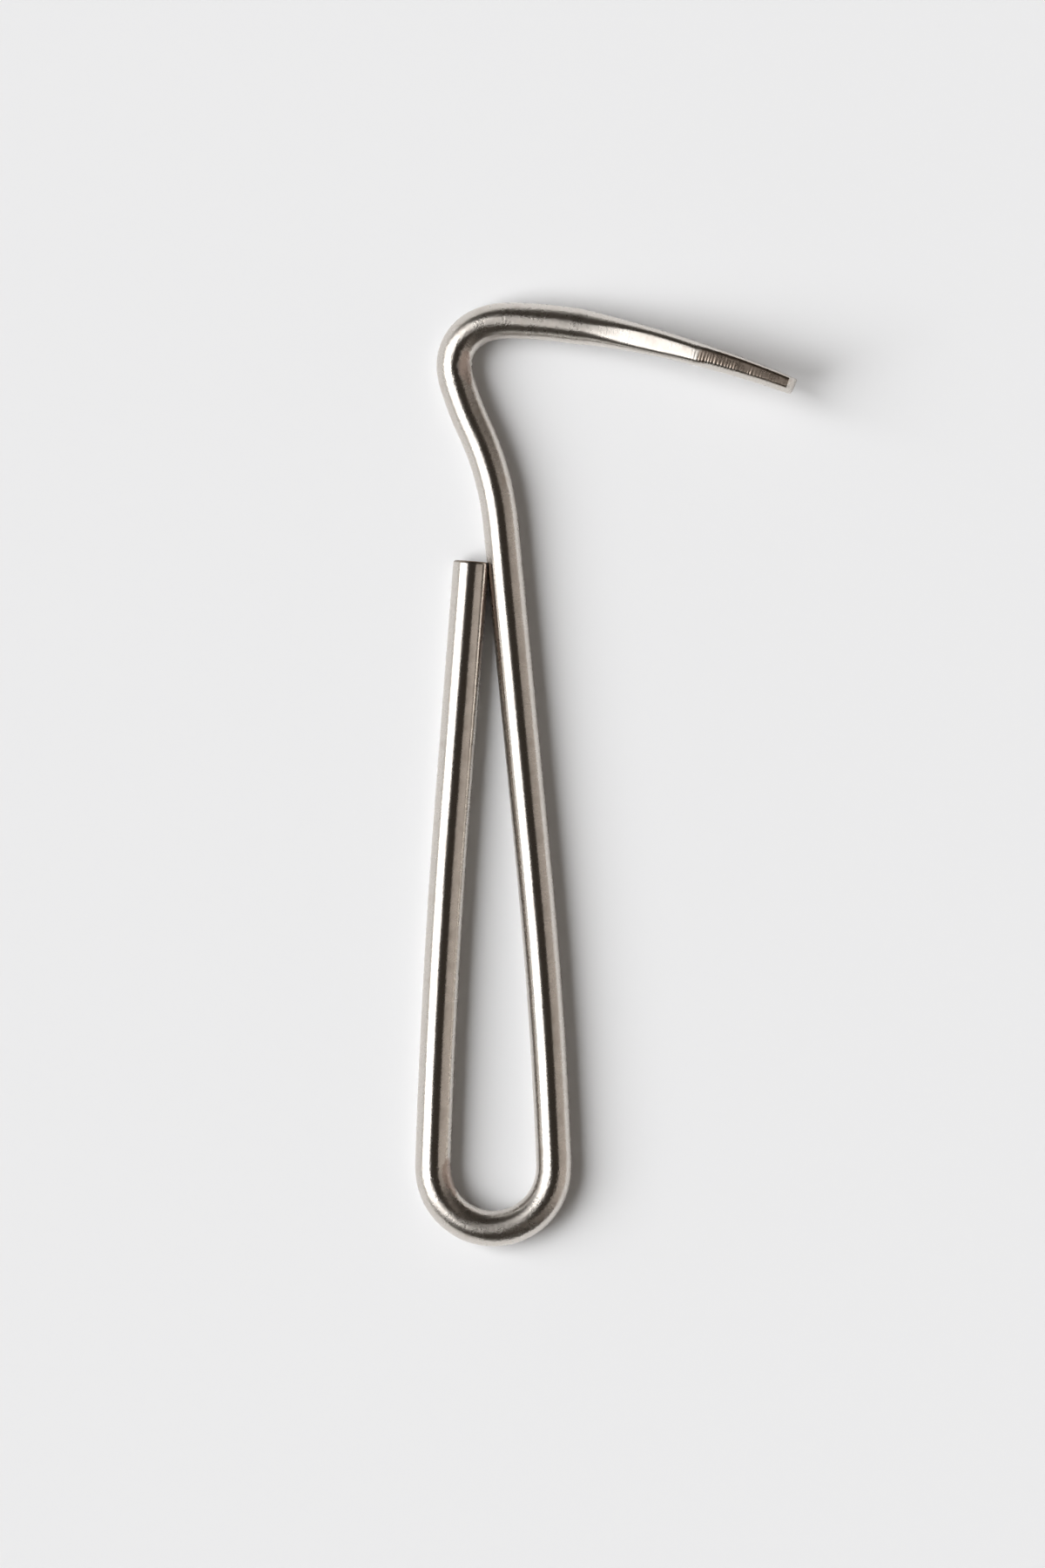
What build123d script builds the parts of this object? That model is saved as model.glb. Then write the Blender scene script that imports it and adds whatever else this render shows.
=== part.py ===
from build123d import *
from math import copysign, cos, pi, sin
import os

# One-piece bent-wire hook tool. A single round steel rod is bent into a long hanging loop that is
# also the grip, closes against itself, leans off as a short neck, turns back over a tight hook bend
# and ends in an arm whose tip is forged and ground into a narrow blade.
#
# Frame: the handle lies flat on Z = 0 with its long direction along Y, hook at the +Y end, and the
# arm points to +X. The origin is the middle of the outline, on the surface that the tool lies on.
# Lengths are in millimetres and angles in degrees. A positive bend turns to the left.

# Rod
rod_diameter = 6.0
rod_radius = rod_diameter / 2

# Handle, followed from the cut end down the free leg, round the loop, up the shank and the neck
free_end = (-22.36, 35.62)
free_leg_heading = -94.4
free_leg_straight = 39.3
free_leg_bow_radius = 1400.0
free_leg_bow_angle = 2.53
loop_radius = 10.06
loop_angle = 184.0
shank_bow_radius = 830.0
shank_bow_angle = 3.37
shank_straight = 58.5
neck_lean_radius = 49.0
neck_lean_angle = 19.8
neck_return_radius = 51.5
neck_return_angle = -10.0

# Cut end of the free leg, and the flat dressed on it so that it closes against the shank
end_chamfer = 0.35
closing_gap = 0.06
closing_flat_length = 12.0
closing_flat_depth = 3.0

# Hook, from the neck to the start of the forging
hook_bend_radius = 7.1
hook_bend_angle = -84.6
hook_exit_radius = 12.4
hook_exit_angle = -22.2
arm_radius = 91.0
arm_angle = -7.5

# Forged blade, whose width is square to the plane of the hook and thickness lies in that plane
blade_entry_angle = -2.5
blade_curve_radius = 191.0
blade_curve_angle = -9.91
forged_width = 11.3
flare_length = 21.5
flare_run_in = 0.35
tip_thickness = 2.7
thinning_power = 0.75
tip_squareness = 4.0
blade_sections = 10
outline_points = 24

# Flats ground on the two narrow sides of the blade, from its widest place to the tip, and the short
# bevels that end them
ground_start = 21.4
ground_width = 10.9
tip_width = 8.0
bevel_length = 0.9
bevel_drop = 1.2
grinding_run_in = 4.0
grinding_stock = 3.0
tip_edge_radius = 0.4

# The plane of the hook is tilted about the neck, so that the blade stands just clear of the surface
# that the handle lies on.
hook_tilt = 5.0


def smooth_step(fraction):
    """Rise from 0 to 1 with level ends."""
    return fraction * fraction * (3 - 2 * fraction)


def flare_rise(fraction):
    """Rise from 0 to 1 with a level start, then at an even rate."""
    if fraction < flare_run_in:
        rise = fraction**2 / (2 * flare_run_in)
    else:
        rise = fraction - flare_run_in / 2
    return rise / (1 - flare_run_in / 2)


def rounded_outline(width, thickness, squareness):
    """Points of a closed outline that is an ellipse at squareness 2 and boxier above it."""
    points = []
    for step in range(outline_points):
        turn = 2 * pi * step / outline_points
        across = copysign(abs(cos(turn)) ** (2 / squareness), cos(turn))
        along = copysign(abs(sin(turn)) ** (2 / squareness), sin(turn))
        points.append((width / 2 * across, thickness / 2 * along))
    return points


# Centreline of the rod, in four runs. Handle and neck lie flat at the height of the rod's axis.
with BuildLine(Plane.XY.offset(rod_radius)) as free_leg_line:
    free_leg = PolarLine(free_end, free_leg_straight, free_leg_heading)

with BuildLine(Plane.XY.offset(rod_radius)) as handle_line:
    free_leg_bow = JernArc(free_leg @ 1, free_leg % 1, free_leg_bow_radius, free_leg_bow_angle)
    loop = JernArc(free_leg_bow @ 1, free_leg_bow % 1, loop_radius, loop_angle)
    shank_bow = JernArc(loop @ 1, loop % 1, shank_bow_radius, shank_bow_angle)
    shank = Line(shank_bow @ 1, shank_bow @ 1 + (shank_bow % 1) * shank_straight)
    neck_lean = JernArc(shank @ 1, shank % 1, neck_lean_radius, neck_lean_angle)
    neck = JernArc(neck_lean @ 1, neck_lean % 1, neck_return_radius, neck_return_angle)

hook_normal = Vector(0, 0, 1).rotate(Axis(neck @ 1, neck % 1), -hook_tilt)
hook_plane = Plane(origin=neck @ 1, x_dir=neck % 1, z_dir=hook_normal)

with BuildLine(hook_plane) as hook_line:
    hook_bend = JernArc((0, 0), (1, 0), hook_bend_radius, hook_bend_angle)
    hook_exit = JernArc(hook_bend @ 1, hook_bend % 1, hook_exit_radius, hook_exit_angle)
    arm = JernArc(hook_exit @ 1, hook_exit % 1, arm_radius, arm_angle)

with BuildLine(hook_plane) as blade_line:
    blade_entry = JernArc(arm @ 1, arm % 1, arm_radius, blade_entry_angle)
    blade_curve = JernArc(blade_entry @ 1, blade_entry % 1, blade_curve_radius, blade_curve_angle)

blade_wire = blade_line.wire()
blade_length = blade_wire.length

with BuildPart() as bent_rod:
    # Free leg with its cut end
    with BuildSketch(Plane(origin=free_leg @ 0, z_dir=free_leg % 0)):
        Circle(rod_radius)
    extrude(amount=free_leg_straight)
    chamfer(bent_rod.edges().sort_by(Axis.Y)[-1], end_chamfer)

    # Flat on the free end, parallel to the shank and clear of it
    towards_leg = Vector(0, 0, 1).cross(shank % 1)
    flat_centre = free_leg @ 0 + towards_leg * (
        rod_radius + closing_gap - (free_leg @ 0 - shank @ 1).dot(towards_leg)
    )
    with BuildSketch(Plane(origin=flat_centre, x_dir=shank % 1, z_dir=-towards_leg)):
        Rectangle(closing_flat_length, rod_diameter)
    extrude(amount=closing_flat_depth, mode=Mode.SUBTRACT)

    # Rest of the handle, up to the end of the neck
    with BuildSketch(Plane(origin=free_leg @ 1, z_dir=free_leg % 1)):
        Circle(rod_radius)
    sweep(path=handle_line.wire())

    # Hook bend and the round part of the arm
    with BuildSketch(Plane(origin=neck @ 1, z_dir=neck % 1)):
        Circle(rod_radius)
    sweep(path=hook_line.wire())

    # Forged flare and blade
    for section in range(blade_sections):
        distance = blade_length * section / (blade_sections - 1)
        place = blade_wire.position_at(distance, position_mode=PositionMode.LENGTH)
        forward = blade_wire.tangent_at(distance, position_mode=PositionMode.LENGTH)
        flare = min(distance / flare_length, 1.0)
        width = rod_diameter + (forged_width - rod_diameter) * flare_rise(flare)
        thinning = (distance / blade_length) ** thinning_power
        thickness = rod_diameter + (tip_thickness - rod_diameter) * thinning
        squareness = 2 + (tip_squareness - 2) * smooth_step(flare)
        with BuildSketch(Plane(origin=place, x_dir=hook_normal, z_dir=forward)):
            if section == 0:
                Circle(rod_radius)
            else:
                with BuildLine():
                    Spline(rounded_outline(width, thickness, squareness), periodic=True)
                make_face()
    loft()

    # Ground flats, falling towards the tip on both narrow sides, each with its bevel
    widest = blade_wire.position_at(ground_start, position_mode=PositionMode.LENGTH)
    tip = blade_wire @ 1
    across_blade = hook_normal.cross(tip - widest)
    for side in (1, -1):
        flat_start = widest + hook_normal * (side * ground_width / 2)
        flat_end = tip + hook_normal * (side * tip_width / 2)
        bevel_start = flat_end - (blade_wire % 1) * bevel_length
        bevel_end = flat_end - hook_normal * (side * bevel_drop)
        for start, end in ((flat_start, flat_end), (bevel_start, bevel_end)):
            run = end - start
            outward = run.cross(across_blade) * side
            with BuildSketch(Plane(origin=(start + end) * 0.5, x_dir=run, z_dir=outward)):
                Rectangle(run.length + 2 * grinding_run_in, rod_diameter)
            extrude(amount=grinding_stock, mode=Mode.SUBTRACT)

    # Rounded edges round the end of the tip
    end_face = bent_rod.faces().filter_by(GeomType.PLANE).sort_by(Axis.X)[-1]
    fillet(end_face.edges(), tip_edge_radius)

os.makedirs("parts", exist_ok=True)
bent_rod.part.label = "bent_rod"
export_step(bent_rod.part, "parts/bent_rod.step")
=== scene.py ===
import math

import bpy
import numpy as np
from mathutils import Matrix, Vector


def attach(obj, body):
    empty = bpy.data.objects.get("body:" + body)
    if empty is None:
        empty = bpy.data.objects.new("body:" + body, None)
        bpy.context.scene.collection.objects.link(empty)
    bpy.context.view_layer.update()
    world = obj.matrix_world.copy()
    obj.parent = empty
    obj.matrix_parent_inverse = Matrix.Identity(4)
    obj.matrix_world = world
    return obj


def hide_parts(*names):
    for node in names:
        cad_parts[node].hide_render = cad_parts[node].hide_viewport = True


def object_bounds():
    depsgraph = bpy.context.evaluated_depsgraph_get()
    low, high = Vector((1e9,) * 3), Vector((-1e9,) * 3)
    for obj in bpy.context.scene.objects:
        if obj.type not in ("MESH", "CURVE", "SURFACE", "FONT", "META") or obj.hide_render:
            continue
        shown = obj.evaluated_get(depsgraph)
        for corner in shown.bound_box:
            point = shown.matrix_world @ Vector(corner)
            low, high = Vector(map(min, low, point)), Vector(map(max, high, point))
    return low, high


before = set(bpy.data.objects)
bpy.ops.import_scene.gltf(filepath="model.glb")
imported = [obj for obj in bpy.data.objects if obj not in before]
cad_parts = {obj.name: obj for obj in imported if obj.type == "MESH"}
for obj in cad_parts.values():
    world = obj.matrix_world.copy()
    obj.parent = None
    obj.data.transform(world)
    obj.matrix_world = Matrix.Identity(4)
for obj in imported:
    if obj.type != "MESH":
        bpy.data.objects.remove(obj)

# A one-piece bent-wire hook tool lying on a pale floor, seen from straight above.
# The rod is built again here as one fine mesh on the CAD part's own centreline and sections, with
# the rounded, ground and cut surfaces of the real tool. Tool sizes are in millimetres and degrees,
# and scene sizes in metres, as each section says.

MM = 0.001
cad_low, cad_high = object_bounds()

# ---------------------------------------------------------------------------------------------
# Centreline, in millimetres and degrees, with the CAD part's dimensions. A positive bend turns
# left.
# ---------------------------------------------------------------------------------------------
ROD_RADIUS = 3.0
FREE_END = (-22.36, 35.62)
FREE_LEG_HEADING = -94.4
FREE_LEG_STRAIGHT = 39.3
SHANK_STRAIGHT = 58.5
HOOK_TILT = 5.0
BEND_EASE = 1.6
EASE_SAMPLES = 9
FINE_STEP = 0.02

# Where the bent metal is roughened: wherever it turns tightly, in radians per millimetre measured
# over a short reach, and along the arm, fading in after the neck and out on the blade
TIGHT_TURN = 0.08
TURN_REACH = 1.0
ARM_FADE_IN = 10.0
ARM_FADE_OUT = 12.0
ARM_ONTO_BLADE = 4.0


def bend(radius, angle):
    """The length and turn of a round bend."""
    return radius * math.radians(abs(angle)), angle


HANDLE_RUNS = (
    (FREE_LEG_STRAIGHT, 0.0),
    bend(1400.0, 2.53),
    bend(10.06, 184.0),
    bend(830.0, 3.37),
    (SHANK_STRAIGHT, 0.0),
)
NECK_RUNS = (bend(49.0, 19.8), bend(51.5, -10.0))
HOOK_RUNS = (bend(7.1, -84.6), bend(12.4, -22.2), bend(91.0, -7.5))
BLADE_RUNS = (bend(91.0, -2.5), bend(191.0, -9.91))


def length_of(*groups):
    """The length of the rod over whole groups of runs."""
    return sum(length for runs in groups for length, _ in runs)


SHANK_END = length_of(HANDLE_RUNS)
NECK_END = length_of(HANDLE_RUNS, NECK_RUNS)
BLADE_START = length_of(HANDLE_RUNS, NECK_RUNS, HOOK_RUNS)
BLADE_LENGTH = length_of(BLADE_RUNS)
ROD_LENGTH = BLADE_START + BLADE_LENGTH


def smooth_step(fraction):
    """Rise from 0 to 1 with level ends."""
    held = np.clip(fraction, 0.0, 1.0)
    return held * held * (3 - 2 * held)


class Centreline:
    """Places and directions along the rod, by distance from its cut end."""

    def __init__(self):
        runs = HANDLE_RUNS + NECK_RUNS + HOOK_RUNS + BLADE_RUNS
        self.run_ends = np.cumsum([0.0] + [length for length, _ in runs])
        self.run_headings = np.cumsum([FREE_LEG_HEADING] + [turn for _, turn in runs])
        self.fine = np.arange(0.0, ROD_LENGTH + FINE_STEP, FINE_STEP)
        middle = self.heading(self.fine[:-1] + FINE_STEP / 2)
        self.x = FREE_END[0] + np.concatenate([[0.0], np.cumsum(np.cos(middle) * FINE_STEP)])
        self.y = FREE_END[1] + np.concatenate([[0.0], np.cumsum(np.sin(middle) * FINE_STEP)])
        neck_end = np.array([NECK_END])
        neck_heading = float(self.heading(neck_end)[0])
        self.neck = self.flat_place(neck_end)[0]
        axis = Vector((math.cos(neck_heading), math.sin(neck_heading), 0.0))
        self.tilt = np.array(Matrix.Rotation(math.radians(-HOOK_TILT), 3, axis))

    def heading(self, distance):
        """Heading in radians, each bend being eased into the next over a few millimetres."""
        shifts = np.linspace(-BEND_EASE, BEND_EASE, EASE_SAMPLES)
        headings = [np.interp(distance + shift, self.run_ends, self.run_headings) for shift in shifts]
        return np.radians(np.mean(headings, axis=0))

    def flat_place(self, distance):
        """Centres at each distance, before the hook is tilted."""
        x = np.interp(distance, self.fine, self.x)
        y = np.interp(distance, self.fine, self.y)
        return np.stack([x, y, np.full_like(x, ROD_RADIUS)], axis=1)

    def bentness(self, distance):
        """1 where the metal was roughened by bending and along the arm, 0 where it stayed smooth."""
        ahead = self.heading(distance + TURN_REACH)
        behind = self.heading(distance - TURN_REACH)
        turn = np.abs(ahead - behind) / (2 * TURN_REACH)
        after_neck = smooth_step((distance - NECK_END) / ARM_FADE_IN)
        before_flare = smooth_step((BLADE_START + ARM_ONTO_BLADE - distance) / ARM_FADE_OUT)
        return np.maximum(np.clip(turn / TIGHT_TURN, 0.0, 1.0), after_neck * before_flare)

    def frames(self, distance):
        """Centre, forward, left and up at each distance. The hook lies in a tilted plane."""
        heading = self.heading(distance)
        zero = np.zeros_like(heading)
        centre = self.flat_place(distance)
        forward = np.stack([np.cos(heading), np.sin(heading), zero], axis=1)
        left = np.stack([-np.sin(heading), np.cos(heading), zero], axis=1)
        up = np.stack([zero, zero, zero + 1.0], axis=1)
        hook = distance > NECK_END
        centre[hook] = (centre[hook] - self.neck) @ self.tilt.T + self.neck
        for direction in (forward, left, up):
            direction[hook] = direction[hook] @ self.tilt.T
        return centre, forward, left, up


# ---------------------------------------------------------------------------------------------
# Sections, in millimetres
# ---------------------------------------------------------------------------------------------
AROUND = 72
CUT_EDGE_RADIUS = 0.55
CLOSING_GAP = 0.06
CLOSING_LENGTH = 12.0

# Forged flare and blade, by distance from the start of the forging
FORGED_WIDTH = 11.3
FLARE_LENGTH = 21.5
FLARE_RUN_IN = 0.35
TIP_THICKNESS = 2.7
THINNING_POWER = 0.75
TIP_SQUARENESS = 4.6
SQUARE_LENGTH = 15.0

# Flats ground on the two narrow sides, and the bevels that end them
GROUND_START = 21.4
GROUND_WIDTH = 10.9
TIP_WIDTH = 8.0
BEVEL_LENGTH = 0.9
BEVEL_DROP = 1.2
TIP_EDGE_RADIUS = 0.4
GROUND_EDGE_START = 0.3
GROUND_EDGE_TIP = 0.4
BARE_EDGE = 0.1

# Bevel along the lower side of the flats. Its place is a share of the thickness. It starts before
# the flats by a share of their length, and rises at a rate over that length.
SIDE_BEVEL_WIDTH = 0.8
SIDE_BEVEL_PLACE = 0.46
SIDE_BEVEL_SLOPE = math.radians(60.0)
SIDE_BEVEL_SOFTNESS = 0.25
SIDE_BEVEL_LEAD = 0.25
SIDE_BEVEL_RISE = 3.0

# Strokes that the grinding left across the flats, at an uneven pitch and with finer scratches
# among them, strong at the start of the flats and weaker at the tip
GROOVE_PITCH = 0.56
GROOVE_WANDER = 0.35
WANDER_PITCH = 1.1
WANDER_SEED = 5
GROOVE_STRENGTHS = (1.1, 0.8)
SCRATCH_SHARE = 0.35
SCRATCH_PITCH = 0.2
SCRATCH_SEED = 6

# The strokes are shallow on the upper half of the flats and deep on the lower half, and how high
# the deep part reaches differs from stroke to stroke and falls towards the tip
STRIATION_DEPTH = 0.005
STROKE_DEPTH = 0.040
REACH_SHARPNESS = 8.0
REACH_START = 0.4
REACH_FALL = 1.5
REACH_UNEVENNESS = 0.5
REACH_PITCH = 0.4
REACH_SEED = 7

# Painted shade: darker, duller metal inside the loop and the hook, and on the free leg beside the
# shank, where shade falls: distance along the rod, angle round it from its left side, and length
SHADE_PATCHES = ((103.5, 38.0, 4.2), (268.5, 130.0, 3.6), (6.0, 14.0, 14.0))
SHADE_PATCH_SPREAD = 26.0

# Rings of the mesh along the rod, closer where the surface has more detail
HANDLE_START = 1.0
HANDLE_RINGS = 580
FLARE_RINGS = 90
GROUND_LEAD = 2.0
GROUND_RING_STEP = 0.09
EDGE_RINGS = 10
END_FACE_SCALES = (0.96, 0.8, 0.55, 0.25)
NOISE_KNOTS = 4096
SURFACE_HALVINGS = 36


def flare_rise(fraction):
    """Rise from 0 to 1 with a level start, then at an even rate."""
    held = np.clip(fraction, 0.0, 1.0)
    run_in = held**2 / (2 * FLARE_RUN_IN)
    rise = np.where(held < FLARE_RUN_IN, run_in, held - FLARE_RUN_IN / 2)
    return rise / (1 - FLARE_RUN_IN / 2)


def smooth_noise(position, pitch, seed):
    """Repeatable noise of about unit size whose bumps are pitch apart."""
    knots = np.random.default_rng(seed).normal(size=NOISE_KNOTS)
    place = position / pitch
    low = np.floor(place).astype(int)
    ease = smooth_step(place - low)
    return knots[low % NOISE_KNOTS] * (1 - ease) + knots[(low + 1) % NOISE_KNOTS] * ease


def forged_section(distance):
    """Width, thickness and squareness of the forged section before grinding."""
    flare = flare_rise(distance / FLARE_LENGTH)
    width = 2 * ROD_RADIUS + (FORGED_WIDTH - 2 * ROD_RADIUS) * flare
    thinning = (distance / BLADE_LENGTH) ** THINNING_POWER
    thickness = 2 * ROD_RADIUS + (TIP_THICKNESS - 2 * ROD_RADIUS) * thinning
    squareness = 2 + (TIP_SQUARENESS - 2) * smooth_step(distance / SQUARE_LENGTH)
    return width, thickness, squareness


def grinding_strokes(distance, angle, ground_part):
    """How far the strokes stand out from the ground flats."""
    wander = GROOVE_WANDER * smooth_noise(distance, WANDER_PITCH, WANDER_SEED)
    grooves = np.sin(2 * math.pi * (distance / GROOVE_PITCH + wander))
    first, last = GROOVE_STRENGTHS
    strength = first + (last - first) * np.clip(ground_part, 0.0, 1.0)
    scratches = SCRATCH_SHARE * smooth_noise(distance, SCRATCH_PITCH, SCRATCH_SEED)
    strokes = grooves * strength + scratches
    uneven = REACH_UNEVENNESS * smooth_noise(distance, REACH_PITCH, REACH_SEED)
    reach = -np.cos(angle) * REACH_SHARPNESS + uneven + REACH_START - REACH_FALL * ground_part
    return (STRIATION_DEPTH + STROKE_DEPTH * smooth_step(reach)) * strokes


def blade_radius(distance, angle, inset):
    """Distance from the centre of the forged section to its surface, and how far that is ground.

    distance is from the start of the forging, and angle turns from the thickness direction to the
    width direction. The flats ground on the narrow sides meet the forged skin in rounded edges,
    with a bevel on the lower side. The bevels count as polished, not as ground.
    """
    width, thickness, squareness = forged_section(distance)
    ground_part = (distance - GROUND_START) / (BLADE_LENGTH - GROUND_START)
    ground_half = (GROUND_WIDTH + (TIP_WIDTH - GROUND_WIDTH) * ground_part) / 2
    ground_half = ground_half + grinding_strokes(distance, angle, ground_part)
    on_end_bevel = np.maximum(distance - (BLADE_LENGTH - BEVEL_LENGTH), 0.0)
    ground_half = ground_half - on_end_bevel * BEVEL_DROP / BEVEL_LENGTH
    edge = GROUND_EDGE_START + (GROUND_EDGE_TIP - GROUND_EDGE_START) * smooth_step(ground_part)

    along_width = np.abs(np.sin(angle))
    along_thickness = np.abs(np.cos(angle))
    boxed_width = (2 * along_width / width) ** squareness
    boxed_thickness = (2 * along_thickness / thickness) ** squareness
    skin_radius = (boxed_width + boxed_thickness) ** (-1 / squareness)

    bevel_rise = smooth_step(SIDE_BEVEL_RISE * (ground_part + SIDE_BEVEL_LEAD))
    bevel_width = SIDE_BEVEL_WIDTH * bevel_rise
    bevel_sine, bevel_cosine = math.sin(SIDE_BEVEL_SLOPE), math.cos(SIDE_BEVEL_SLOPE)
    bevel_half = SIDE_BEVEL_PLACE * thickness - bevel_width
    bevel_reach = bevel_half * bevel_sine + ground_half * bevel_cosine
    bevelled_side = (np.cos(angle) < 0.0) & (ground_part > -SIDE_BEVEL_LEAD)

    def outside(radius):
        """How far a radius is outside the surface, and whether the side bevel is nearest there."""
        skin = radius - skin_radius
        flat = radius * along_width - ground_half
        corner = np.hypot(np.maximum(skin + edge, 0.0), np.maximum(flat + edge, 0.0))
        edged = np.minimum(np.maximum(skin, flat), -edge) + corner
        bevel = radius * (along_thickness * bevel_sine + along_width * bevel_cosine) - bevel_reach
        near = np.maximum(SIDE_BEVEL_SOFTNESS - np.abs(edged - bevel), 0.0)
        bevelled = np.maximum(edged, bevel) + near**2 / (4 * SIDE_BEVEL_SOFTNESS)
        surface = np.where(bevelled_side, bevelled, edged)
        return surface + inset, bevelled_side & (bevel > edged)

    low = np.zeros_like(skin_radius)
    high = skin_radius.copy()
    for _ in range(SURFACE_HALVINGS):
        middle = (low + high) / 2
        is_out = outside(middle)[0] > 0
        high = np.where(is_out, middle, high)
        low = np.where(is_out, low, middle)
    flat_is_nearer = (low * along_width - ground_half) - (low - skin_radius)
    ground = np.clip(0.5 + flat_is_nearer / BARE_EDGE, 0.0, 1.0)
    ground = np.where(outside(low)[1] | (on_end_bevel > 0.0), 0.0, ground)
    return low, ground


def ring_distances():
    """Distances of the rings along the rod."""
    cut_turn = np.linspace(0.0, math.pi / 2, EDGE_RINGS)
    cut_edge = CUT_EDGE_RADIUS * (1 - np.cos(cut_turn))
    handle = np.linspace(HANDLE_START, BLADE_START, HANDLE_RINGS)
    ground_from = BLADE_START + GROUND_START - GROUND_LEAD
    flare = np.linspace(BLADE_START, ground_from, FLARE_RINGS)[1:]
    ground = np.arange(ground_from, ROD_LENGTH - TIP_EDGE_RADIUS, GROUND_RING_STEP)[1:]
    tip_turn = np.linspace(math.pi / 2, 0.0, EDGE_RINGS)
    tip_edge = ROD_LENGTH - TIP_EDGE_RADIUS * (1 - np.cos(tip_turn))
    return np.concatenate([cut_edge, handle, flare, ground, tip_edge])


def rounded_edge_inset(to_end, edge_radius):
    """How far a rounded edge pulls the surface in, by distance from the end face."""
    depth = np.clip(edge_radius - to_end, 0.0, edge_radius)
    return edge_radius - np.sqrt(edge_radius**2 - depth**2)


def rod_sections(distance, angle):
    """Radius and ground share of every ring, by distance and angle."""
    radius = np.full((len(distance), AROUND), ROD_RADIUS)
    ground = np.zeros_like(radius)
    radius -= rounded_edge_inset(distance, CUT_EDGE_RADIUS)[:, None]
    on_blade = distance > BLADE_START
    from_start = (distance[on_blade] - BLADE_START)[:, None]
    inset = rounded_edge_inset(ROD_LENGTH - distance[on_blade], TIP_EDGE_RADIUS)[:, None]
    angles = np.broadcast_to(angle, (len(from_start), AROUND))
    radius[on_blade], ground[on_blade] = blade_radius(from_start, angles, inset)
    return radius, ground


def dress_free_end(points, along, line):
    """Flatten the free end where it closes against the shank. along has one value per ring."""
    shank_end = np.array([SHANK_END])
    _, _, shank_left, _ = line.frames(shank_end)
    reach = (points - line.flat_place(shank_end)[0]) @ shank_left[0]
    near_end = np.concatenate([np.repeat(along < CLOSING_LENGTH, AROUND), [True, False]])
    push = np.where(near_end, np.maximum(ROD_RADIUS + CLOSING_GAP - reach, 0.0), 0.0)
    return points + push[:, None] * shank_left[0]


def tube_faces(ring_count):
    """Faces between the rings, and fans that close the ends on the last two points."""
    faces = []
    for row in range(ring_count - 1):
        here = row * AROUND
        for column in range(AROUND):
            after = (column + 1) % AROUND
            near = (here + column, here + AROUND + column)
            faces.append((*near, here + AROUND + after, here + after))
    first_centre = ring_count * AROUND
    last_centre = first_centre + 1
    last_ring = (ring_count - 1) * AROUND
    for column in range(AROUND):
        after = (column + 1) % AROUND
        faces.append((first_centre, column, after))
        faces.append((last_centre, last_ring + after, last_ring + column))
    return faces


def painted_shade_strength(along, angle):
    """How strong the painted shade is, by ring and angle."""
    painted_shade = np.zeros((len(along), AROUND))
    for patch_place, patch_angle, patch_length in SHADE_PATCHES:
        aside = (angle - math.radians(patch_angle)) / math.radians(SHADE_PATCH_SPREAD)
        beyond = (along - patch_place) / patch_length
        painted_shade = np.maximum(painted_shade, np.exp(-aside[None, :] ** 2 - beyond[:, None] ** 2))
    return painted_shade


def add_layer(mesh, name, ring_values, end_values):
    """Store a value for every point of the mesh, the two end centres last."""
    layer = mesh.attributes.new(name, "FLOAT", "POINT")
    values = np.concatenate([ring_values.ravel(), end_values])
    layer.data.foreach_set("value", values.astype("f"))


def add_lengthwise_uv(mesh, along):
    """U runs along the rod and V round it, both in metres. along has one value per point."""
    uv = mesh.uv_layers.new(name="rod")
    corner_vertex = np.zeros(len(mesh.loops), dtype=int)
    mesh.loops.foreach_get("vertex_index", corner_vertex)
    turn = (corner_vertex % AROUND) / AROUND
    turn[corner_vertex >= len(along) - 2] = 0.5

    # On the faces that cross from the last point of a ring to its first, the first is a full turn
    starts = np.zeros(len(mesh.polygons), dtype=int)
    totals = np.zeros(len(mesh.polygons), dtype=int)
    mesh.polygons.foreach_get("loop_start", starts)
    mesh.polygons.foreach_get("loop_total", totals)
    face_of_corner = np.repeat(np.arange(len(starts)), totals)
    highest = np.zeros(len(starts))
    np.maximum.at(highest, face_of_corner, turn)
    turn = turn + ((highest[face_of_corner] > 0.9) & (turn < 0.1))
    around = turn * 2 * math.pi * ROD_RADIUS
    pairs = np.stack([along[corner_vertex], around], axis=1) * MM
    uv.data.foreach_set("uv", pairs.ravel().astype("f"))


def build_rod(line):
    """The whole rod as one closed mesh."""
    distance = ring_distances()
    centre, _, left, up = line.frames(distance)
    angle = np.arange(AROUND) * 2 * math.pi / AROUND
    radius, ground = rod_sections(distance, angle)

    def ring(index, scale):
        across = np.cos(angle)[:, None] * left[index] + np.sin(angle)[:, None] * up[index]
        return centre[index] + across * radius[index][:, None] * scale

    # The end faces are rings that shrink to a centre point
    last = len(distance) - 1
    rings = [ring(0, scale) for scale in reversed(END_FACE_SCALES)]
    rings += [ring(index, 1.0) for index in range(len(distance))]
    rings += [ring(last, scale) for scale in END_FACE_SCALES]
    extra = len(END_FACE_SCALES)
    along = np.concatenate([[0.0] * extra, distance, [ROD_LENGTH] * extra])
    ground = np.concatenate([np.zeros((extra, AROUND)), ground, np.ones((extra, AROUND))])
    points = np.concatenate(rings + [centre[[0]], centre[[last]]])
    points = dress_free_end(points, along, line)

    mesh = bpy.data.meshes.new("bent_rod_fine")
    mesh.from_pydata([tuple(point) for point in points * MM], [], tube_faces(len(rings)))
    mesh.validate()
    add_layer(mesh, "ground", ground, [0.0, 1.0])
    add_layer(mesh, "bent", np.repeat(line.bentness(along), AROUND), [0.0, 0.0])
    # Where shade is painted, in the inner bends and beside the shank
    add_layer(mesh, "painted_shade", painted_shade_strength(along, angle), [0.0, 0.0])
    add_lengthwise_uv(mesh, np.concatenate([np.repeat(along, AROUND), [0.0, ROD_LENGTH]]))
    mesh.polygons.foreach_set("use_smooth", [True] * len(mesh.polygons))
    mesh.update()
    return mesh


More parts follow.
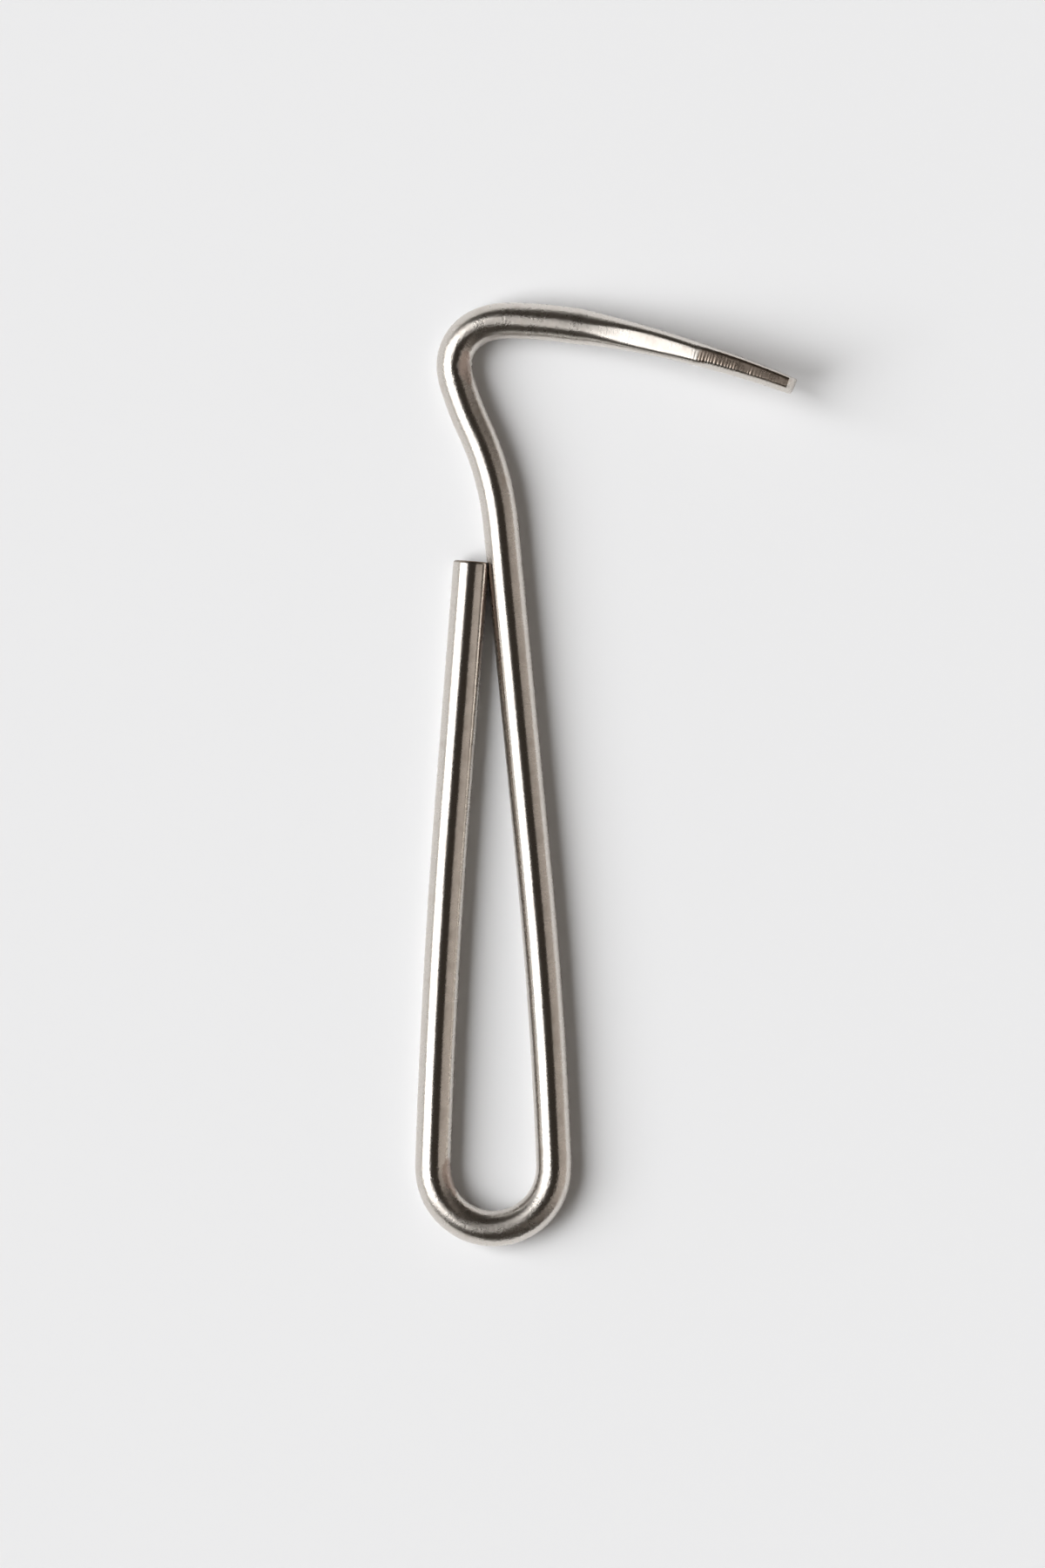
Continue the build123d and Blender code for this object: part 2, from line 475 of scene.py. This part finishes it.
# ---------------------------------------------------------------------------------------------
# Materials, with lengths in metres
# ---------------------------------------------------------------------------------------------
NICKEL = (0.70, 0.655, 0.605, 1.0)
TARNISH = (0.42, 0.33, 0.26, 1.0)
GROUND_STEEL = (0.44, 0.36, 0.30, 1.0)
# Darker, duller colour painted as shade in the inner bends and beside the shank
SHADE_PATCH_COLOUR = (0.50, 0.41, 0.36, 1.0)
CUT_STEEL = (0.20, 0.15, 0.11, 1.0)
FLOOR_GREY = (0.79, 0.80, 0.816, 1.0)

# How closely the noises are spaced, per metre, and how the fine rings are drawn out round the rod
RING_SCALE = 3000.0
RING_STRETCH = (1.0, 0.12, 1.0)
GRAIN_SCALE = 1900.0
RAGGED_SCALE = 700.0
BLOTCH_SCALE = 420.0
WAVE_SCALE = 150.0

# Surface relief: how strongly each noise counts, and the height of one unit
RING_HEIGHT = 0.8
DRAWN_GRAIN_HEIGHT = 0.8
BENT_GRAIN_HEIGHT = 2.4
WAVE_HEIGHT = 2.5
RELIEF = 0.00002

# The dark line left by the saw at the cut end, and how ragged its edge is
CUT_LINE = (0.0003, 0.0006)
CUT_LINE_DARKNESS = 0.85
CUT_LINE_RAGGEDNESS = 0.0002

# Tarnish and roughness follow the blotches, each over its own part of the noise
TARNISH_BLOTCHES = (0.52, 0.80)
TARNISH_SHARE = 0.30
ROUGHNESS_BLOTCHES = (0.3, 0.7)
ROUGHNESS = (0.25, 0.31)
ANISOTROPY = 0.85

# Patches of painted shade: how ragged their edge is, where it fades, how far they reach, and how
# much less metallic they are
PATCH_RAGGEDNESS = 0.9
PATCH_EDGE = (0.25, 0.55)
PATCH_REACH = (0.05, 0.4)
PATCH_LESS_METALLIC = 0.35


class Nodes:
    """A short way to add and join shader nodes."""

    def __init__(self, tree):
        self.tree = tree
        self.tree.nodes.clear()

    def add(self, kind, inputs=None, **settings):
        """A new node, with its settings, and with values or links for its inputs."""
        node = self.tree.nodes.new(kind)
        for name, value in settings.items():
            setattr(node, name, value)
        for name, value in (inputs or {}).items():
            if isinstance(value, bpy.types.NodeSocket):
                self.tree.links.new(value, node.inputs[name])
            else:
                node.inputs[name].default_value = value
        return node

    def math(self, operation, first, second):
        node = self.add("ShaderNodeMath", {0: first, 1: second}, operation=operation)
        return node.outputs[0]

    def span(self, value, low, high, to_low=0.0, to_high=1.0):
        """value eased from to_low to to_high as it goes from low to high."""
        inputs = {
            "Value": value,
            "From Min": low,
            "From Max": high,
            "To Min": to_low,
            "To Max": to_high,
        }
        node = self.add("ShaderNodeMapRange", inputs, interpolation_type="SMOOTHSTEP")
        return node.outputs["Result"]

    def noise(self, vector, scale, detail=3.0, roughness=0.6):
        inputs = {"Vector": vector, "Scale": scale, "Detail": detail, "Roughness": roughness}
        return self.add("ShaderNodeTexNoise", inputs).outputs["Fac"]

    def mix(self, share, first, second):
        """The first colour where share is 0, and the second where it is 1."""
        return self.add("ShaderNodeMix", {0: share, 6: first, 7: second}, data_type="RGBA").outputs[2]

    def attribute(self, name):
        return self.add("ShaderNodeAttribute", attribute_name=name).outputs["Fac"]


def surface_relief(n, uv, place, grain):
    """Normal of the metal: fine lines round the rod, a grain that bending coarsens, slow waves."""
    mapping = {"Vector": uv, "Scale": RING_STRETCH}
    round_rod = n.add("ShaderNodeMapping", mapping).outputs["Vector"]
    fine_rings = n.noise(round_rod, RING_SCALE)
    waves = n.noise(place, WAVE_SCALE, 1.0, 0.5)
    grain_height = n.span(n.attribute("bent"), 0.0, 1.0, DRAWN_GRAIN_HEIGHT, BENT_GRAIN_HEIGHT)
    rough_grain = n.math("MULTIPLY", grain, grain_height)
    height = n.math("ADD", n.math("MULTIPLY", fine_rings, RING_HEIGHT), rough_grain)
    height = n.math("ADD", height, n.math("MULTIPLY", waves, WAVE_HEIGHT))
    inputs = {"Height": height, "Strength": 1.0, "Distance": RELIEF}
    return n.add("ShaderNodeBump", inputs).outputs["Normal"]


def painted_shade_patches(n, place):
    """1 inside the patches of painted shade, with a ragged edge."""
    painted_shade = n.attribute("painted_shade")
    ragged = n.math("MULTIPLY", n.noise(place, RAGGED_SCALE), PATCH_RAGGEDNESS)
    ragged_shade = n.math("SUBTRACT", n.math("ADD", painted_shade, ragged), PATCH_RAGGEDNESS / 2)
    return n.math("MULTIPLY", n.span(ragged_shade, *PATCH_EDGE), n.span(painted_shade, *PATCH_REACH))


def cut_line(n, uv, grain):
    """How dark the metal is in the line round the cut end."""
    along = n.add("ShaderNodeSeparateXYZ", {"Vector": uv}).outputs["X"]
    ragged = n.math("MULTIPLY", grain, CUT_LINE_RAGGEDNESS)
    return n.span(n.math("ADD", along, ragged), *CUT_LINE, CUT_LINE_DARKNESS, 0.0)


def nickel_material():
    """Warm nickel plate over drawn wire, dull and darker where the blade is ground."""
    material = bpy.data.materials.new("nickel_plate")
    material.use_nodes = True
    n = Nodes(material.node_tree)
    uv = n.add("ShaderNodeUVMap", uv_map="rod").outputs["UV"]
    place = n.add("ShaderNodeTexCoord").outputs["Object"]
    grain = n.noise(place, GRAIN_SCALE)
    blotches = n.noise(place, BLOTCH_SCALE)
    # Where shade is painted on the metal, in the inner bends and beside the shank
    shade_patch = painted_shade_patches(n, place)

    tarnish = n.span(blotches, *TARNISH_BLOTCHES, 0.0, TARNISH_SHARE)
    colour = n.mix(tarnish, NICKEL, TARNISH)
    colour = n.mix(n.attribute("ground"), colour, GROUND_STEEL)
    # Painted shade: darker colour in the inner bends and beside the shank
    colour = n.mix(shade_patch, colour, SHADE_PATCH_COLOUR)
    colour = n.mix(cut_line(n, uv, grain), colour, CUT_STEEL)
    tangent = n.add("ShaderNodeTangent", direction_type="UV_MAP", uv_map="rod").outputs["Tangent"]
    inputs = {
        "Base Color": colour,
        # Less metallic where the shade is painted
        "Metallic": n.math("SUBTRACT", 1.0, n.math("MULTIPLY", shade_patch, PATCH_LESS_METALLIC)),
        "Roughness": n.span(blotches, *ROUGHNESS_BLOTCHES, *ROUGHNESS),
        "Anisotropic": ANISOTROPY,
        "Tangent": tangent,
        "Normal": surface_relief(n, uv, place, grain),
    }
    shader = n.add("ShaderNodeBsdfPrincipled", inputs)
    n.add("ShaderNodeOutputMaterial", {"Surface": shader.outputs["BSDF"]})
    return material


def floor_material():
    """Plain matt pale grey."""
    material = bpy.data.materials.new("pale_floor")
    material.use_nodes = True
    n = Nodes(material.node_tree)
    inputs = {"Base Color": FLOOR_GREY, "Roughness": 1.0, "Specular IOR Level": 0.0}
    shader = n.add("ShaderNodeBsdfPrincipled", inputs)
    n.add("ShaderNodeOutputMaterial", {"Surface": shader.outputs["BSDF"]})
    return material


# ---------------------------------------------------------------------------------------------
# The tool
# ---------------------------------------------------------------------------------------------
rod = bpy.data.objects.new("bent_rod_fine", build_rod(Centreline()))
rod.data.materials.append(nickel_material())
bpy.context.scene.collection.objects.link(rod)
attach(rod, "root")
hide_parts("bent_rod")

# ---------------------------------------------------------------------------------------------
# Studio, in metres, watts and degrees
# ---------------------------------------------------------------------------------------------
FLOOR_SIZE = 14.0

# The softbox is large and far, so that the floor is evenly lit
SOFTBOX_DISTANCE = 60.0
SOFTBOX_SIZE = (64.0, 64.0)
SOFTBOX_FROM_ZENITH = 48.0
SOFTBOX_FADE = 0.16
SOFTBOX_POWER = 85000.0
SOFTBOX_IN_METAL = 0.46
METAL_LAMP_NEARER = 0.99

# The room, by direction as seen from the tool. The warm wall is below a sloping top and between
# two upright edges, and the pale wall is below a height.
DARK_ROOM = (0.040, 0.034, 0.028, 1.0)
WARM_WALL = (0.60, 0.545, 0.50, 1.0)
WARM_WALL_TOP = 0.62
WARM_WALL_EDGES = (4.0, -1.6)
WARM_WALL_FADE = (-0.03, 0.05)
PALE_WALL = (0.72, 0.72, 0.70, 1.0)
PALE_WALL_TOP = 0.25
PALE_WALL_FADE = (-0.05, 0.12)
BACKDROP = (0.80, 0.80, 0.80, 1.0)
FLOOR_FILL_COLOUR = (1.08, 1.0, 0.90, 1.0)
FLOOR_FILL = 0.056

CAMERA_DISTANCE = 2.5
VIEW_HEIGHT = 0.26151
SENSOR = 36.0
CLIP_NEAR = 0.01
CLIP_FAR = 100.0
AIM_FROM_MIDDLE = (-0.01382, -0.00154)


def add_floor():
    """A plain square at the height that the tool lies on."""
    half = FLOOR_SIZE / 2
    level = cad_low.z
    corners = [(-half, -half, level), (half, -half, level), (half, half, level), (-half, half, level)]
    mesh = bpy.data.meshes.new("floor")
    mesh.from_pydata(corners, [], [(0, 1, 2, 3)])
    mesh.materials.append(floor_material())
    floor = bpy.data.objects.new("floor", mesh)
    bpy.context.scene.collection.objects.link(floor)


def softbox_glow(light):
    """Fade the light panel towards its edges."""
    light.use_nodes = True
    n = Nodes(light.node_tree)
    place = n.add("ShaderNodeNewGeometry").outputs["Parametric"]
    across = n.add("ShaderNodeSeparateXYZ", {"Vector": place}).outputs
    to_edge = []
    for axis in ("X", "Y"):
        to_far_edge = n.math("SUBTRACT", 1.0, across[axis])
        to_edge.append(n.math("MINIMUM", across[axis], to_far_edge))
    fade = n.span(n.math("MINIMUM", *to_edge), 0.0, SOFTBOX_FADE)
    inputs = {"Color": (1.0, 1.0, 1.0, 1.0), "Strength": fade}
    lamp = n.add("ShaderNodeEmission", inputs).outputs[0]
    n.add("ShaderNodeOutputLight", {"Surface": lamp})


def add_softbox(name, power, distance, seen_in_metal):
    """One large soft panel on the -X side, facing the tool.

    There are two of them, almost in one place: one for what the panel throws on the floor, and a
    dimmer one for how the metal mirrors it, as a panel behind a diffuser looks.
    """
    light = bpy.data.lights.new(name, "AREA")
    light.shape = "RECTANGLE"
    light.size, light.size_y = SOFTBOX_SIZE
    light.energy = power
    light.cycles.use_multiple_importance_sampling = seen_in_metal
    softbox_glow(light)
    softbox = bpy.data.objects.new(name, light)
    softbox.visible_glossy = seen_in_metal
    softbox.visible_diffuse = not seen_in_metal
    lean = math.radians(SOFTBOX_FROM_ZENITH)
    towards = Vector((-math.sin(lean), 0.0, math.cos(lean)))
    softbox.location = towards * distance
    softbox.rotation_mode = "QUATERNION"
    softbox.rotation_quaternion = towards.to_track_quat("Z", "Y")
    bpy.context.scene.collection.objects.link(softbox)


def warm_wall(n, split):
    """1 on the warm wall on the +X side."""
    edges = [n.math("MULTIPLY", split["Y"], slope) for slope in WARM_WALL_EDGES]
    within = n.math("SUBTRACT", split["X"], n.math("MAXIMUM", *edges))
    below_top = n.math("SUBTRACT", split["X"], n.math("MULTIPLY", split["Z"], WARM_WALL_TOP))
    return n.span(n.math("MINIMUM", below_top, within), *WARM_WALL_FADE)


def pale_wall(n, split):
    """1 on the pale wall low on the -X side."""
    left = n.math("MULTIPLY", split["X"], -1.0)
    low = n.math("SUBTRACT", PALE_WALL_TOP, split["Z"])
    return n.span(n.math("MINIMUM", left, low), *PALE_WALL_FADE)


def add_surroundings():
    """A dim room for the metal to mirror, a little fill on the floor, and a plain backdrop."""
    world = bpy.data.worlds.new("studio")
    bpy.context.scene.world = world
    world.use_nodes = True
    n = Nodes(world.node_tree)

    def glow(colour, strength=1.0):
        inputs = {"Color": colour, "Strength": strength}
        return n.add("ShaderNodeBackground", inputs).outputs[0]

    direction = n.add("ShaderNodeTexCoord").outputs["Generated"]
    split = n.add("ShaderNodeSeparateXYZ", {"Vector": direction}).outputs
    colour = n.mix(warm_wall(n, split), DARK_ROOM, WARM_WALL)
    colour = n.mix(pale_wall(n, split), colour, PALE_WALL)
    room = glow(colour)
    fill = glow(FLOOR_FILL_COLOUR, FLOOR_FILL)
    filled = n.add("ShaderNodeAddShader", {0: room, 1: fill}).outputs[0]
    ray = n.add("ShaderNodeLightPath").outputs
    lit = n.add("ShaderNodeMixShader", {0: ray["Is Diffuse Ray"], 1: room, 2: filled}).outputs[0]
    inputs = {0: ray["Is Camera Ray"], 1: lit, 2: glow(BACKDROP)}
    seen = n.add("ShaderNodeMixShader", inputs).outputs[0]
    n.add("ShaderNodeOutputWorld", {"Surface": seen})


def add_camera():
    """Straight down, with the photograph's framing."""
    data = bpy.data.cameras.new("camera")
    data.sensor_width = SENSOR
    data.lens = SENSOR * CAMERA_DISTANCE / VIEW_HEIGHT
    data.clip_start = CLIP_NEAR
    data.clip_end = CLIP_FAR
    camera = bpy.data.objects.new("camera", data)
    middle = (cad_low + cad_high) / 2
    camera.location = (
        middle.x + AIM_FROM_MIDDLE[0],
        middle.y + AIM_FROM_MIDDLE[1],
        ROD_RADIUS * MM + CAMERA_DISTANCE,
    )
    bpy.context.scene.collection.objects.link(camera)
    bpy.context.scene.camera = camera


add_floor()
add_softbox("softbox_on_floor", SOFTBOX_POWER, SOFTBOX_DISTANCE, False)
metal_power = SOFTBOX_POWER * SOFTBOX_IN_METAL
add_softbox("softbox_in_metal", metal_power, SOFTBOX_DISTANCE * METAL_LAMP_NEARER, True)
add_surroundings()
add_camera()
bpy.context.scene.view_settings.view_transform = "Standard"

bpy.context.view_layer.update()
